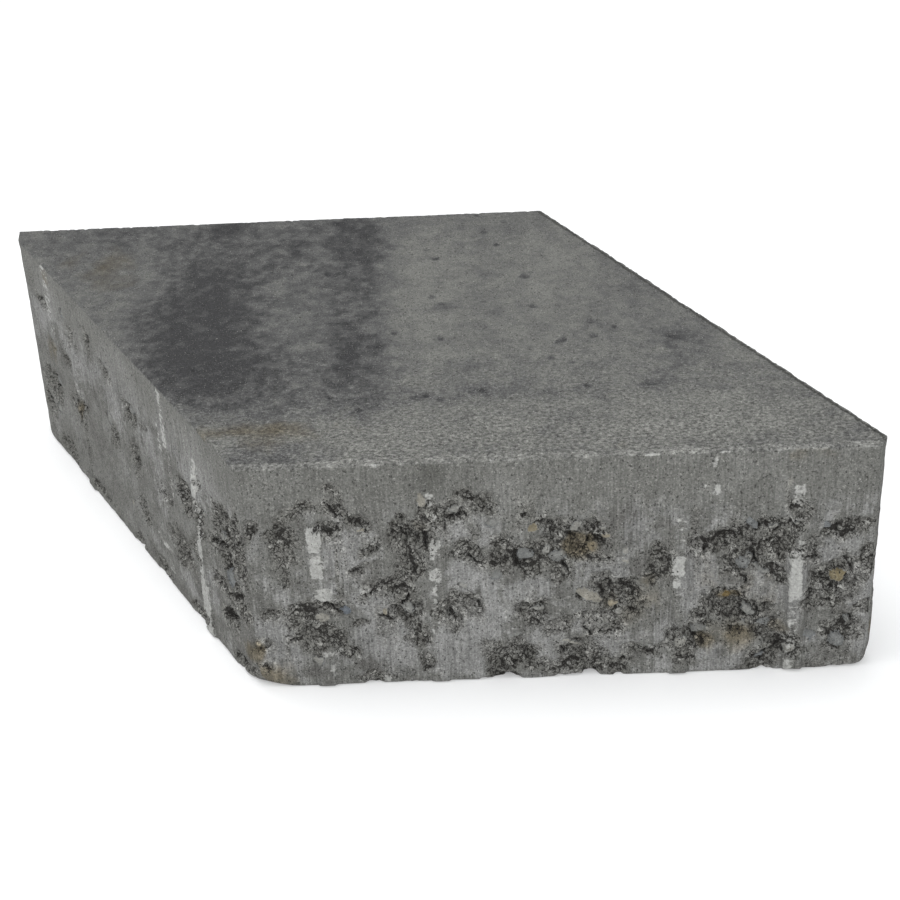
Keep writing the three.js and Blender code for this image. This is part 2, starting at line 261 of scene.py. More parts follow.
# The deep gaps between the grains, cut into the relief and also painted dark as shade: from a
# distance and height to a distance and height, width, depth
FRONT_GAPS = [
    (10, 55.5, 13, 57.5, 1, 1.6), (9.5, 53.5, 14, 53, 0.8, 1.4), (23, 58, 26, 57, 1.4, 1.6),
    (25, 67, 28, 62, 1.2, 1.4), (30.5, 63, 32, 60.5, 1, 1.4), (34, 59, 35.5, 57.5, 1.2, 1.8),
    (34.5, 49.5, 39.5, 52, 1.1, 2.2), (31, 41.7, 33, 42.3, 1.4, 1.8),
    (45.5, 58, 47.5, 53.5, 1.5, 2.8), (47.5, 53.5, 49, 48, 1, 2.2), (43.5, 53, 46, 53, 0.9, 1.8),
    (48.5, 47, 50, 41, 1.4, 2.2), (54, 54, 53.5, 49.5, 1.6, 3.2), (53.5, 60, 56.5, 57.5, 1, 2),
    (59, 59, 59, 56, 1.4, 2.4), (60, 60, 65.5, 61.5, 1.3, 2.8), (65.5, 66, 70.5, 65, 1.1, 2.8),
    (70.5, 65, 73, 61.5, 0.9, 2), (66.5, 68.5, 67.5, 67, 1, 1.8), (63, 48.5, 66, 50.5, 1.2, 2.4),
    (64.5, 47, 69.5, 43.5, 1.1, 2.2), (74, 50.5, 77, 51.3, 1, 2.4), (77, 51, 78.2, 48.5, 1.2, 2.6),
    (72.5, 43.5, 77, 43, 1, 1.8), (79.5, 48, 79.8, 43.5, 1.8, 3.4),
    (79.8, 42.5, 84, 40.5, 1.1, 2.4), (84, 40.5, 87.5, 44, 1, 2.4), (93, 42.5, 95.5, 39.5, 1.6, 3),
    (94.5, 53, 97, 50.5, 1.1, 2.6), (97, 50.5, 98.5, 54, 1, 2.4), (100, 56, 102.5, 53, 0.9, 2.2),
    (101, 44, 107, 43.5, 0.8, 2), (104, 52.5, 106, 54, 0.8, 2), (89.5, 52.5, 92, 48.5, 1, 2),
    (86.5, 57.5, 88.5, 58.5, 0.9, 1.4), (82, 60, 83.2, 61.2, 0.9, 1.4),
    (34, 33.3, 38, 36.5, 1, 1.6), (38, 36.5, 42.5, 37.5, 1.1, 2), (42.5, 35.5, 48, 35.3, 1.2, 2.2),
    (47.5, 34, 45.5, 29.5, 1.2, 2.8), (45.5, 29, 47.5, 25.3, 1.3, 3), (38.5, 26, 42.5, 23.8, 1, 2),
    (50, 21.5, 51, 18.5, 1.2, 1.8), (59.5, 26, 61, 23, 2.4, 3), (64.5, 31, 68.5, 28, 1, 2.4),
    (22.5, 31.5, 25.5, 29, 1.2, 2), (16.5, 28.5, 19, 27, 1.2, 1.8),
    (15.5, 22.5, 20, 20.3, 1.3, 2.2), (20, 20, 24, 17.5, 1, 1.6), (10.5, 18, 15, 18.3, 1, 1.4),
    (81.5, 28, 84, 29.3, 0.9, 1.8), (84, 23, 87, 20.5, 1.1, 2), (104.5, 33, 106, 30, 1.2, 2.6),
    (106, 30, 109.5, 27, 1.1, 2.6), (109.5, 27, 115, 24, 1.2, 3), (107, 33.3, 113.5, 34, 0.9, 2.2),
    (109, 22, 112, 21.7, 0.9, 1.6), (100, 19, 101.5, 16.5, 1, 1.6),
    (104.5, 17, 110, 17.5, 0.8, 1.2), (72, 13, 73.5, 9.5, 1.2, 2), (76, 8, 79, 6, 1.2, 2.4),
    (79, 6, 82, 9.5, 1, 2.2), (92.5, 12, 94, 8.5, 1.3, 2.8), (94.5, 6.5, 98, 5.5, 2.2, 3.2),
    (110, 6.3, 111.5, 7.3, 1, 1.4), (118, 37.5, 124.5, 38, 0.9, 1.4),
    (124.5, 38, 125.5, 45, 0.8, 1.2), (131, 48.3, 133.5, 49.7, 1.2, 2.6),
    (133.5, 49.7, 136, 47.5, 1.3, 3), (136, 47.5, 138.5, 47.3, 1.4, 3),
    (138, 48, 141, 50.7, 1.2, 2.8), (141, 50.7, 144, 51, 1.3, 2.8),
    (134.3, 43.8, 135, 46.5, 1, 1.8), (145.5, 53, 148, 52, 1, 1.8),
    (151.5, 53.5, 154, 53.3, 1.2, 2.2), (154, 47.3, 157, 48.3, 1.2, 2.6),
    (157, 48.3, 158, 44.5, 1.2, 3), (158, 44.5, 160.5, 44.3, 1.1, 2.6),
    (157.3, 43.5, 157.7, 41.8, 1, 2), (160, 60, 162, 59.3, 1.3, 1.8), (161, 56, 161.7, 52, 1, 1.8),
    (165.5, 42.3, 167.5, 41, 1.7, 2.8), (141.5, 37.5, 144, 41.2, 1.2, 2.8),
    (143.5, 39, 147, 37.3, 1.1, 2.8), (149.5, 45, 150.5, 40, 1.1, 2.6), (147, 36, 148, 33, 1.1, 2),
    (154, 38.5, 157.5, 34, 1, 1.8), (172, 50.7, 175.5, 48.7, 1.2, 2.4),
    (175.5, 48.7, 179, 50.7, 1, 2.2), (167.5, 47.5, 169.5, 46, 1, 1.8),
    (176.5, 41.5, 178.3, 36, 1.1, 2.6), (178.3, 36, 176.8, 31.8, 1.4, 2.8),
    (182, 38.5, 185, 40.5, 1, 1.8), (167, 29, 170.5, 28.5, 1.2, 2.4),
    (170.5, 28.5, 174, 29.8, 1, 2.2), (170.5, 25.3, 176, 25.8, 0.9, 2),
    (141, 30.3, 145.5, 30, 1, 2), (145.5, 30, 147, 27.8, 1, 2.2),
    (146.5, 20, 148.5, 25.5, 1.1, 2.6), (148.5, 25.8, 152, 26, 1, 2.4),
    (152, 18.3, 155, 17.5, 1.2, 2.4), (143.5, 16.8, 145, 16.5, 1.8, 2.6),
    (131, 15.5, 133, 13, 1.8, 3.4), (133, 13, 136.3, 19, 1.1, 2.8),
    (126.5, 16, 128.5, 16.8, 1.1, 2.2), (128, 7.3, 131, 6.8, 1.2, 2.4),
    (134, 21, 136.5, 22.3, 1, 1.8), (172.5, 14, 174, 11, 1, 1.8),
    (175.8, 16.7, 177.2, 16.3, 1.8, 2.4), (182.3, 22.6, 184.5, 23, 1.2, 1.8),
    (150.5, 5.5, 154.5, 7, 1.8, 3.6), (154.5, 7, 158, 9.8, 1.2, 2.4), (158, 9.8, 161, 10.3, 1, 2),
    (2, 9.5, 4, 7.5, 1.2, 1.6),
]
LEFT_GAPS = [
    (165, 41, 172, 42.5, 2, 3), (172, 42.5, 180, 40, 2.2, 3.4), (171, 16.5, 179, 19, 2.6, 3.4),
    (168, 30, 175, 27, 1.6, 2.4), (175, 27, 183, 29, 1.4, 2.4), (170, 57, 176, 55, 1.2, 2),
    (176, 55, 183, 58, 1.2, 2), (180, 48, 185, 51, 1.4, 2.2), (178, 4, 186, 5.5, 2, 2.4),
    (157.5, 48, 158.5, 41, 1.2, 2), (143, 50, 146, 45, 1.2, 2.2), (145, 41, 149, 43, 1.2, 2),
    (126, 38, 131, 36, 1.3, 2.2), (133, 22, 140, 20, 1.3, 2.2), (104, 22, 107, 18, 1.8, 2.6),
    (102, 41, 105, 35, 1.6, 2.6), (100, 57, 107, 54.5, 1.3, 2.4), (100, 57, 100.5, 53, 1.2, 2.2),
    (83, 62.3, 88, 60, 1.4, 2.2), (68.5, 69, 70, 63, 1.6, 2.2), (50, 38, 56, 33, 1.8, 2.4),
    (44, 33, 47, 31, 1.2, 1.6), (50, 29, 55, 28, 1.4, 2.2), (22, 33, 30, 30, 1.8, 2.2),
    (13, 17, 19, 15, 2.2, 2.4), (96, 3, 100, 4, 1.6, 2.4), (21, 63, 28, 62, 1.2, 1.4),
]

# Single pebbles that show in the walls: distance, height, half length, half height, tilt, how
# deep they sit, tint from 0 (blue grey) by 0.5 (pale grey) to 1 (ochre)
FRONT_PEBBLES = [
    (53, 66.5, 1.9, 2.6, 15, 0.3, 0.6), (62.5, 63, 1.5, 1.4, 0, 0.6, 0.45),
    (82.5, 45.5, 2.5, 2.3, 10, 1, 0.3), (85, 55.5, 1.7, 1.3, 20, 0.1, 0.85),
    (97.5, 55.8, 1.3, 2, -30, 0.2, 0.5), (102.5, 47.5, 1.6, 2, 0, 0.9, 0.6),
    (106.5, 51.8, 1.6, 0.9, -15, 0.4, 0.75), (105.5, 54.6, 1.4, 0.6, 0, 0.1, 0.5),
    (112, 46.2, 1.3, 1.4, 0, 0, 0.5), (112, 42.7, 1.4, 0.6, -8, 0, 0.55),
    (47, 28, 1.7, 2.2, 25, 0.8, 0.4), (40.3, 27, 0.8, 1.8, 10, 0.3, 0.7),
    (86, 26.2, 1.8, 1.2, -15, 0.5, 0.45), (101.3, 30.3, 4.6, 1.9, -32, 0.1, 0.6),
    (108.3, 27, 1.6, 1.2, 0, 0.5, 0.7), (148, 41.5, 1.3, 1.9, -20, 0.4, 0.4),
    (146.8, 39.6, 1.9, 1.9, 0, 0.9, 0.3), (175, 34.2, 2.4, 2.6, 20, 0.5, 0.95),
    (133.8, 16.3, 2.3, 2.2, 0, 0.6, 0.35), (129, 12, 2, 2.3, 20, 0.4, 0.5),
    (176, 10.3, 2.4, 3, 15, 0.2, 0.3), (21.5, 26.3, 2.2, 2, 0, 0.2, 0.55),
    (28.5, 28, 1.6, 1.5, 0, 0.3, 0), (96, 13.4, 3, 0.8, -20, 0, 0.55),
    (149, 54.4, 1.1, 2.2, 35, 0, 0.25), (170.8, 52.8, 1.1, 1.5, 0, 0.1, 0.2),
    (155, 52.7, 1.4, 0.7, 30, 0.2, 0.45), (161.5, 8.7, 2, 1.9, 0, 0.3, 0.5),
    (153, 5, 1.6, 1.2, 0, 1.4, 0.2), (161.8, 54.6, 1, 0.8, 0, 0.3, 0.5),
    (92, 44.8, 2.6, 2.4, 0, 0.8, 0.35), (88.5, 47.5, 0.9, 1.8, -20, 0.2, 0.45),
    (149, 22.5, 3, 1.5, -45, 0.8, 0.4), (147, 17.8, 1.2, 1, 0, 0.4, 0.35),
    (153.8, 18, 1.8, 1.2, 0, 0.6, 0.3), (151.8, 38, 3.4, 0.7, -42, 0.1, 0.4),
    (167.6, 13.6, 1.6, 1.3, 0, 0.1, 0.3), (178.5, 18.5, 1, 1.4, 0, 0.2, 0.35),
    (64, 36, 1.2, 1.2, 0, 0, 0.45), (142, 28.7, 1.6, 0.9, 0, 0.5, 1),
    (35, 57, 1.2, 1, 0, 0.2, 0.65), (79, 17.3, 1.5, 0.8, 25, 0, 0.4),
    (73, 58, 1.8, 1.5, 0, 0.3, 0.4), (74, 39, 1.6, 1.3, 0, 0.2, 0.35),
    (19, 10, 1.8, 1.6, 0, 0.2, 0.5),
]
LEFT_PEBBLES = [
    (82, 43, 2.8, 2.4, 20, 0, 0.4), (104, 57, 2.2, 1.8, 0, 0.5, 0.35), (96, 30, 1.2, 1, 0, 0, 0.5),
    (95.5, 16.5, 1.3, 1.1, 0, 0, 0.6), (90, 54.5, 1.2, 1, 0, 0, 0.5),
    (176, 33, 2.4, 3.2, 20, 0.5, 0.25), (31, 48, 3, 2, 0, 0.1, 0.35), (27, 20, 3.2, 2, 0, 0.1, 0.4),
    (46, 67, 2.6, 2.2, 0, 0.1, 0.4), (173, 47, 2, 1.2, 20, 0.3, 0.4),
    (180, 22, 1.8, 1.4, 0, 0.3, 0.4), (31, 33, 2.4, 2, 0, 0.2, 0.3),
]

# Patches where the mould left a smooth pale skin, or, below 0, where the mix is barer than
# elsewhere: distance, height, half length, half height, tilt, strength
FRONT_SKINS = [
    (10, 34.5, 9, 5.5, 0, 0.1), (7, 19, 7, 8, 0, 0.7), (29, 45, 6, 8, 0, 0.6),
    (40, 16, 7.5, 9, 0, 0.8), (37, 32, 6, 4, 0, 0.5), (64, 15, 9, 11, 0, 1), (70, 24, 5, 7, 0, 0.8),
    (66, 39, 5, 6, 0, 0.7), (84, 34, 8, 5, 0, 0.45), (66, 55, 7, 4, 0, 0.5), (33, 54, 6, 4, 0, 0.4),
    (88, 13, 5, 9, 0, 0.6), (104, 40, 9, 4, -8, 0.8), (118, 28, 7, 8, 0, -0.2),
    (56, 76, 3.5, 6, 0, -0.9), (133, 36, 5, 10, 0, 0.6), (108, 12, 5, 5, 0, 0.6),
    (142, 6, 8, 5, 0, 0.6), (171, 44, 8, 4, 0, 0.6), (181, 29, 5, 7, 0, 0.8),
    (183, 13, 3, 8, 0, 0.7), (153, 31, 6, 5, 0, 0.6), (122, 17, 6, 5, 0, 0.5),
    (162.5, 34, 3, 14, 0, 0.7), (112, 52, 8, 8, 0, 0.4), (100, 21, 4, 4, 0, 0.4),
    (20, 70, 20, 8, 0, 0.1), (12, 50, 7, 8, 0, -0.5), (48, 42, 6, 12, 0, -0.5),
    (85, 44, 14, 6, 0, -0.5), (102, 50, 10, 8, 0, -0.6), (20, 22, 9, 8, 0, -0.5),
    (145, 20, 10, 7, 0, -0.6), (78, 8, 8, 6, 0, -0.5), (124, 42, 6, 6, 0, -0.5),
    (157, 50, 10, 8, 0, -0.4), (176, 18, 8, 6, 0, -0.3),
]
LEFT_SKINS = [
    (160, 64, 14, 9, 0, 0.7), (140, 68, 12, 8, 0, 0.6), (125, 30, 8, 10, 0, 0.7),
    (162, 22, 7, 9, 0, 0.8), (115, 12, 9, 5, 0, 0.6), (168, 34, 5, 5, 0, 0.7),
    (34, 68, 12, 8, 0, 0.6), (96, 68, 20, 8, 0, 0.6), (140, 12, 10, 8, 0, 0.6),
    (118, 45, 12, 12, 0, 0.5), (60, 50, 18, 14, 0, 0.4), (75, 25, 14, 10, 0, 0.3),
    (90, 45, 10, 12, 0, 0.5), (20, 50, 12, 12, 0, 0.3), (177, 42, 12, 14, 0, -0.6),
    # the last, widest entry makes the lower part of the flank walls barer and darker
    (24, 26, 12, 8, 0, -0.5), (95, 26, 90, 22, 0, -0.65),
]

# Brown stains, in the same terms
FRONT_STAINS = [
    (98.5, 48, 4.5, 3.5, 0, 1), (142.5, 28.5, 3.5, 2, 0, 0.9), (3, 4, 9, 4, -15, 0.7),
    (0, 14, 3, 4, 0, 0.9), (147, 13, 5, 4, 0, 0.45), (158, 16, 4, 3, 0, 0.5),
    (119, 36, 3, 2, 0, 0.4), (165, 77, 9, 3, 0, 0.35), (52, 57, 2.5, 3, 0, 0.35),
    (107, 28, 3, 3, 0, 0.4), (136, 12, 3, 3, 0, 0.5), (117, 25, 8, 11, 0, 0.3),
    (134, 36, 6, 10, 0, 0.2), (153, 30, 7, 6, 0, 0.3), (142, 15, 8, 7, 0, 0.35),
    (101, 48, 8, 6, 0, 0.25),
]
LEFT_STAINS = [
    (28, 45, 5, 5, 0, 0.6), (52, 31, 4, 3, 0, 0.7), (187, 13, 4, 4, 0, 0.9), (34, 76, 5, 4, 0, 0.4),
    (165, 13, 2, 2, 0, 0.5),
]

# White lines and blots, where other stones rubbed against the ribs: distance, half width, lowest
# and highest point, strength
FRONT_RUBS = [
    (20.8, 2, 53.3, 59, 1), (20.6, 1.8, 50.3, 53, 0.9), (20.9, 1.9, 41, 49.8, 0.9),
    (21.6, 0.8, 61, 64.5, 0.5), (22.2, 2.4, 32.5, 37, 0.8), (24, 1.5, 46, 48, 0.4),
    (22.5, 2, 11.5, 13.2, 0.7), (23.2, 0.8, 4, 9, 0.6), (26, 0.8, 12, 14, 0.5),
    (55.2, 0.8, 64, 70, 0.7), (56.4, 0.7, 59, 61, 0.7), (56.2, 1.6, 46, 53, 0.8),
    (55.7, 1.7, 38, 43, 0.75), (55.3, 0.7, 28, 38, 0.6), (55.5, 1.6, 18, 24, 0.4),
    (55.8, 1.8, 2, 7, 0.4), (39, 1.6, 0, 3.4, 0.7), (44, 1.8, 9.6, 10.5, 0.5),
    (42.5, 0.6, 11, 14, 0.4), (128.3, 1.4, 62, 60.4, 0.4), (128.3, 1.7, 56.4, 57.8, 0.55),
    (128.3, 1.7, 53.6, 54.6, 0.5), (128.2, 1.7, 49.4, 50.6, 0.5), (128.2, 1.4, 45.5, 48.5, 0.25),
    (127.6, 1.8, 37.4, 44, 1), (127.3, 1.3, 33, 37.4, 0.6), (127.6, 1.2, 24, 31, 0.3),
    (162.3, 1.6, 60, 67.5, 0.55), (162, 1.8, 53, 56, 0.35), (162.3, 1.9, 27, 44.5, 0.85),
    (163.6, 1.2, 44, 49, 0.4), (162, 1.8, 2, 25, 0.35), (161.5, 1.5, 0, 4, 0.6),
    (137.5, 0.9, 74, 79, 0.45), (138.5, 1.2, 65, 68.5, 0.6), (134.6, 0.5, 67.6, 68.8, 0.6),
    # the entries from 79.2 mm up paint a pale line along the top edge: partly a worn arris, partly
    # a painted highlight
    (140, 1.4, 39, 40.5, 0.5), (39.5, 2.2, 79.2, 81, 0.6), (119.5, 2.2, 79.2, 81, 0.9),
    (143, 6, 79.3, 81, 0.5), (182, 2, 79.3, 81, 0.4), (68, 8, 79.4, 81, 0.3),
    (70, 0.8, 19, 22, 0.3), (76.5, 0.7, 23, 26.5, 0.5), (109, 1, 36.4, 37.6, 0.5),
    (179.5, 0.5, 67, 68.6, 0.8), (156, 0.9, 63, 64.5, 0.4), (170.5, 0.9, 61, 62.5, 0.4),
]
LEFT_RUBS = [
    (156.8, 1.5, 19, 66, 0.8), (157.2, 2.2, 0, 21, 1), (54, 1.2, 30, 46, 0.3),
    (133.5, 1.6, 58, 79, 0.55), (135.5, 1.2, 38, 58, 0.35), (129, 1.4, 54, 66, 0.35),
    (31.5, 3, 60, 68, 0.4), (32.5, 3, 68, 80, 0.3), (33, 2.5, 52, 60, 0.25),
    (125, 4, 14.5, 16.5, 0.5), (118, 3, 16, 19, 0.35), (127, 2, 6, 12, 0.3),
]

FRONT_TABLES = dict(hollows=FRONT_HOLLOWS, gaps=FRONT_GAPS, pebbles=FRONT_PEBBLES,
                    skins=FRONT_SKINS, stains=FRONT_STAINS, rubs=FRONT_RUBS)
LEFT_TABLES = dict(hollows=LEFT_HOLLOWS, gaps=LEFT_GAPS, pebbles=LEFT_PEBBLES,
                   skins=LEFT_SKINS, stains=LEFT_STAINS, rubs=LEFT_RUBS)
WALLS = [
    Wall(1, FRONT_LEFT, FRONT_RIGHT, FRONT_RIBS, FRONT_WEAR, FRONT_TABLES),
    Wall(2, FRONT_RIGHT, BACK_RIGHT, FLANK_RIBS, FLANK_WEAR, LEFT_TABLES, mirrored=True),
    Wall(3, BACK_RIGHT, BACK_LEFT, FRONT_RIBS, FRONT_WEAR, FRONT_TABLES, mirrored=True),
    Wall(4, BACK_LEFT, FRONT_LEFT, FLANK_RIBS, FLANK_WEAR, LEFT_TABLES),
]

# The wearing face. Bands and blots of anthracite pigment: x, y, half length, half width, tilt,
# strength, which is negative where the facing is paler
PIGMENT = [
    (-67, 4, 17, 38, 0, 1), (-73, 62, 14, 14, 0, 0.4), (-62, 77, 8, 8, 0, 0.8),
    (-60, 42, 12, 20, 0, 0.4), (-58, -24, 20, 18, 0, 0.6), (-44, -42, 20, 14, 0, 0.3),
    (-36, -76, 16, 5, 0, 0.4), (-17, 18, 10, 60, 0, 0.45), (-19, 58, 9, 14, 0, 0.5),
    (-15, -20, 8, 15, 0, 0.5), (-20, 76, 12, 6, 0, 0.5), (-40, 60, 12, 18, 0, 0.3),
    (-103, 73, 25, 12, 0, 0.3), (27, 28, 4, 35, 0, 0.15), (67, -7, 5, 26, 0, 0.1),
    (90, -24, 9, 13, 0, 0.3), (99, -6, 8, 10, 0, 0.2), (52, 68, 20, 8, 0, 0.1),
    (-38, 20, 9, 50, 0, 0.15), (5, 18, 10, 60, 0, -0.3), (-80, 40, 6, 3.5, 0, -0.7),
    (-103, 26, 2.5, 2, 0, -0.9), (40, -68, 110, 16, 0, -0.35), (100, -30, 40, 40, 0, -0.2),
    (40, 20, 30, 60, 0, -0.25),
]
TOP_STAINS = [
    (-39, -62, 25, 4.5, 0, 0.75), (-107, 53, 14, 8, 0, 0.6), (-100, 38, 10, 6, 0, 0.4),
    (60, -78, 20, 3, 0, 0.2),
]
DARK_DOTS = [
    (-3, -5), (12, -10), (24, -43), (26, -46), (52, -28), (60, -2), (67, -6), (60, -12), (84, -14),
    (46, -25), (-33, 45), (-40, 61), (-52, 1), (9, 19), (12, 14), (34, 74), (31, 56), (50, -14),
    (-10, 10), (56, -43), (75, -42), (25, 80), (27, 66), (10, 47), (26, 14), (7, -45), (4, -46),
    (12, -48), (42, 10), (40, 31), (7, 54), (-26, 38), (-64, -26), (-27, -9), (-22, -44),
    (-13, -52), (-25, 77),
]


def tilted(s, z, centre_s, centre_z, half_s, half_z, tilt):
    """Distance from the middle of a tilted ellipse, 1 on its edge."""
    turn = math.radians(tilt)
    across, up = s - centre_s, z - centre_z
    first = across * math.cos(turn) + up * math.sin(turn)
    second = up * math.cos(turn) - across * math.sin(turn)
    return np.hypot(first / half_s, second / half_z)


def blots(s, z, table):
    """Adds up soft-edged ellipses of the given strengths."""
    total = np.zeros(len(s))
    for *shape, strength in table:
        total += strength * ease(1.5 - tilted(s, z, *shape))
    return total


def to_stroke(s, z, s0, z0, s1, z1):
    """Distance from a straight stroke."""
    length = math.hypot(s1 - s0, z1 - z0)
    along = np.clip(((s - s0) * (s1 - s0) + (z - z0) * (z1 - z0)) / length**2, 0, 1)
    return np.hypot(s - s0 - along * (s1 - s0), z - z0 - along * (z1 - z0))


def rib_height(wall, s, z):
    """How far the ribs stand out of the wall. Each is worn to a share of its full height."""
    height = np.zeros(len(s))
    for rib, left_over in zip(wall.ribs, wall.wear):
        flank = (RIB_BASE / 2 - np.abs(s - rib)) / ((RIB_BASE - RIB_CREST) / 2)
        height = np.maximum(height, RIB_PROUD * left_over * ease(flank))
    run_out = np.clip((z - RIB_HEIGHT + RIB_RUN_OUT) / RIB_RUN_OUT, 0, 1)
    foot = RIB_PROUD - np.clip(RIB_FOOT - z, 0, RIB_FOOT)
    return np.minimum(height * (1 - run_out**2), foot)


def rubbed_at(wall, s, z):
    """How strongly the wall is rubbed white."""
    mark = np.zeros(len(s))
    for centre, half, low, high, strength in wall.tables["rubs"]:
        across = (half + 0.6 - np.abs(s - centre)) / 1.2
        ends = np.minimum(z - low, high - z) / 1.2 + 0.5
        mark = np.maximum(mark, strength * ease(across) * ease(ends))
    return mark


def wall_relief(wall, s, z):
    """The wall's recess in millimetres, how open it is, how dark its gaps are painted as shade, the
    tint of its pebbles, which is -1 between them, and how rubbed it is."""
    flat = np.stack([s, z, np.full(len(s), 50.0 * wall.row)], axis=1)
    from_start = SIDE - s if wall.mirrored else s
    fine_s, fine_z = 0.7 * noise(flat, 1.9, 2), 0.7 * noise(flat, 1.7, 4)
    bent_s = from_start + 1.8 * noise(flat, 6, 1) + fine_s
    bent_z = z + 1.8 * noise(flat, 5, 3) + fine_z
    ragged = rough(flat, 3.8, 5, 5)
    depth, open_share = np.zeros(len(s)), np.zeros(len(s))
    for *shape, deep in wall.tables["hollows"]:
        reach = max(shape[2:4]) * 2.2 + 4
        near = (np.abs(from_start - shape[0]) < reach) & (np.abs(z - shape[1]) < reach)
        edge = tilted(bent_s[near], bent_z[near], *shape)
        inside = (1.0 - edge) * 1.5 + ragged[near]
        depth[near] = np.maximum(depth[near], deep * ease(inside * 1.6))
        open_share[near] = np.maximum(open_share[near], ease(inside * 1.1 + 0.75))

    crumbs = noise(flat, 1.1, 6)
    looseness = noise(flat, 2.6, 7)
    recess = open_share * (0.15 + 0.3 * crumbs)
    # gap is painted shade: how dark the finish paints the gaps between the grains
    gap = np.zeros(len(s))
    torn = open_share > 0
    torn_s, torn_z = s[torn] + fine_s[torn], z[torn] + fine_z[torn]
    for size, seed, share in ((3.0, 40, 1.0), (1.7, 60, 0.5)):
        _, valley, one, two = grains(torn_s, torn_z, wall.row, size, seed)
        width = (0.42 * looseness[torn] + 0.06 * ease(depth[torn])) * size * 0.5
        cut = ease((width - valley) / 0.4 + 0.4) * open_share[torn]
        round_top = 0.5 * size * 0.5 * (1 - ease(valley / (0.7 * size)))
        recess[torn] += share * (depth[torn] * (0.05 + 0.6 * one) + open_share[torn] * round_top)
        recess[torn] = np.maximum(recess[torn], cut * share * (0.9 + 0.6 * depth[torn]))
        gap[torn] = np.maximum(gap[torn], cut * (0.45 + 0.55 * two) * share)

    wavy_s, wavy_z = from_start + 1.2 * fine_s, z + 1.2 * fine_z
    for *stroke, width, deep in wall.tables["gaps"]:
        s0, z0, s1, z1 = stroke
        near = (from_start > min(s0, s1) - 3) & (from_start < max(s0, s1) + 3)
        near &= (z > min(z0, z1) - 3) & (z < max(z0, z1) + 3)
        away = to_stroke(wavy_s[near], wavy_z[near], *stroke)
        half = width * (0.3 + 0.3 * ragged[near] + 0.24 * looseness[near])
        cut = ease((half - away) / 0.4 + 0.5)
        recess[near] = np.maximum(recess[near], deep * cut)
        gap[near] = np.maximum(gap[near], cut)
        loose = ease((width + 2.0 + ragged[near] - away) / 2.0)
        open_share[near] = np.maximum(open_share[near], loose)

    away, _, one, two = grains(s, z, wall.row, 5.0, 70)
    pin = np.clip(1 - (away / (0.2 + 0.5 * one**3)) ** 2, 0, 1) * (two < 0.35)
    recess += 0.6 * np.sqrt(pin)

    tint = np.full(len(s), -1.0)
    uneven_s = from_start + 0.7 * noise(flat, 1.6, 8)
    uneven_z = z + 0.7 * noise(flat, 1.5, 11)
    for *shape, sunk, colour in wall.tables["pebbles"]:
        near = (np.abs(from_start - shape[0]) < 8) & (np.abs(z - shape[1]) < 8)
        edge = tilted(uneven_s[near], uneven_z[near], *shape)
        crown = sunk + min(shape[2], shape[3]) * 0.5 * (1 - np.sqrt(np.clip(1 - edge**2, 0, 1)))
        crown += 0.15 * crumbs[near]
        shows = edge < 1
        # the moat round a pebble is cut in, and its gap value paints it dark as shade
        moat = ease(1 - np.abs(edge - 1.12) / 0.28) * ease(0.5 + ragged[near])
        moat *= open_share[near] > 0.2
        recess[near] = np.where(shows, crown, np.maximum(recess[near], moat * 1.3))
        gap[near] = np.where(shows, 0, np.maximum(gap[near], moat * 0.8))
        tint[near] = np.where(shows, colour, tint[near])

    rub = rubbed_at(wall, s, z)
    recess += 0.1 * rub * (1 + noise(flat, 1.3, 13))
    recess += 0.08 * noise(flat, 26, 9) + 0.04 * noise(flat, (1.3, 30, 1), 10)
    recess -= wall.swell * ease(1 - z / 60)
    # left_open also weakens the open look and the painted gap shade on the far part of the flank
    # walls
    left_open = 1 - wall.closed * ease((150 - from_start) / 30)
    return recess, open_share * left_open, gap * left_open, tint, rub


# ---------------------------------------------------------------- the cast stone

def only(obj):
    """Makes obj the one selected and active object."""
    bpy.ops.object.select_all(action="DESELECT")
    obj.select_set(True)
    bpy.context.view_layer.objects.active = obj


def modify(obj, kind, **settings):
    """Gives obj a modifier with these settings, and applies it."""
    modifier = obj.modifiers.new(kind, kind)
    for name, value in settings.items():
        setattr(modifier, name, value)
    only(obj)
    bpy.ops.object.modifier_apply(modifier=modifier.name)


def positions(obj):
    flat = np.empty(len(obj.data.vertices) * 3, np.float32)
    obj.data.vertices.foreach_get("co", flat)
    return flat.reshape(-1, 3).astype(float) / MM


def set_positions(obj, points):
    obj.data.vertices.foreach_set("co", (points * MM).astype(np.float32).ravel())
    obj.data.update()


def cast_block():
    """A closed rhombus block on a fine grid, with sharp edges. Its points and faces are made in a
    fixed order, so that it is thinned alike in every run."""
    counts = [round(length / COARSE_CELL) for length in (SIDE, SIDE, THICKNESS)]
    spans = np.array([SIDE * ALONG_FRONT, SIDE * ALONG_LEFT, [0, 0, THICKNESS]])
    shell = bmesh.new()
    made = {}

    def point(*steps):
        if steps not in made:
            made[steps] = shell.verts.new((FRONT_LEFT + np.divide(steps, counts) @ spans) * MM)
        return made[steps]

    for axis in range(3):
        first, second = (axis + 1) % 3, (axis + 2) % 3
        for end in (0, counts[axis]):
            for a, b in np.ndindex(counts[first], counts[second]):
                corners = []
                for more_a, more_b in ((0, 0), (1, 0), (1, 1), (0, 1)):
                    steps = [end] * 3
                    steps[first], steps[second] = a + more_a, b + more_b
                    corners.append(point(*steps))
                shell.faces.new(corners if end else corners[::-1])

    mesh = bpy.data.meshes.new("cast_stone")
    shell.to_mesh(mesh)
    shell.free()
    block = bpy.data.objects.new("cast_stone", mesh)
    bpy.context.scene.collection.objects.link(block)
    modify(block, "SUBSURF", subdivision_type="SIMPLE", levels=HALVINGS, render_levels=HALVINGS)
    return block


